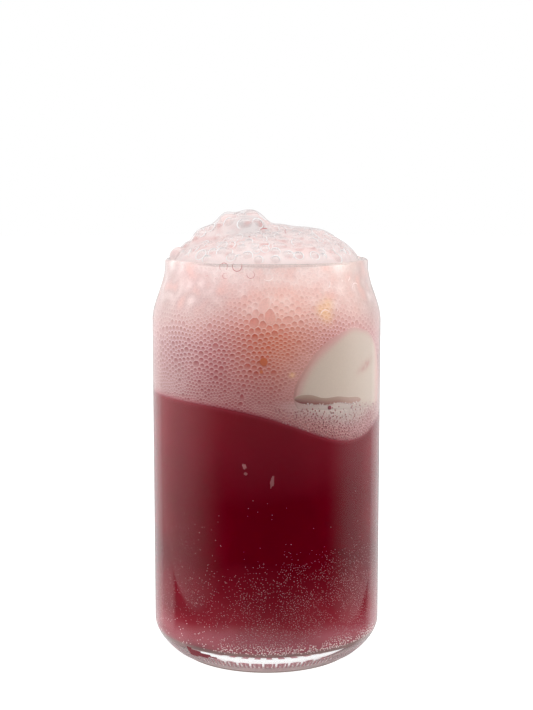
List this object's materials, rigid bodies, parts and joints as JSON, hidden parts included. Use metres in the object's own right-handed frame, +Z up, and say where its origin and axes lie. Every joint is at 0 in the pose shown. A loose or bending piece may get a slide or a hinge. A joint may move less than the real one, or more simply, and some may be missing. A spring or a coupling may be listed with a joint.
{
  "type": "ice cream float",
  "caption": "Ice cream float in a can-shaped drinking glass, with foam in the neck and bubbles heaped over the rim.",
  "frame": {"origin": "on the table under the axis of the glass", "axes": "+Z up along the axis of the glass; the side on which the scoop shows faces -Y, with the scoop towards +X"},
  "size_m": [0.0764, 0.0764, 0.1483],
  "materials": {
    "glass": "clear, polished",
    "drink": "clear dark red liquid behind glass",
    "foam": "wet bubbles",
    "ice_cream": "frozen, slightly wet"
  },
  "bodies": {
    "root": {"glass": "glass", "drink": "drink", "foam": "foam", "ice_cream": "ice_cream"}
  },
  "joints": []
}
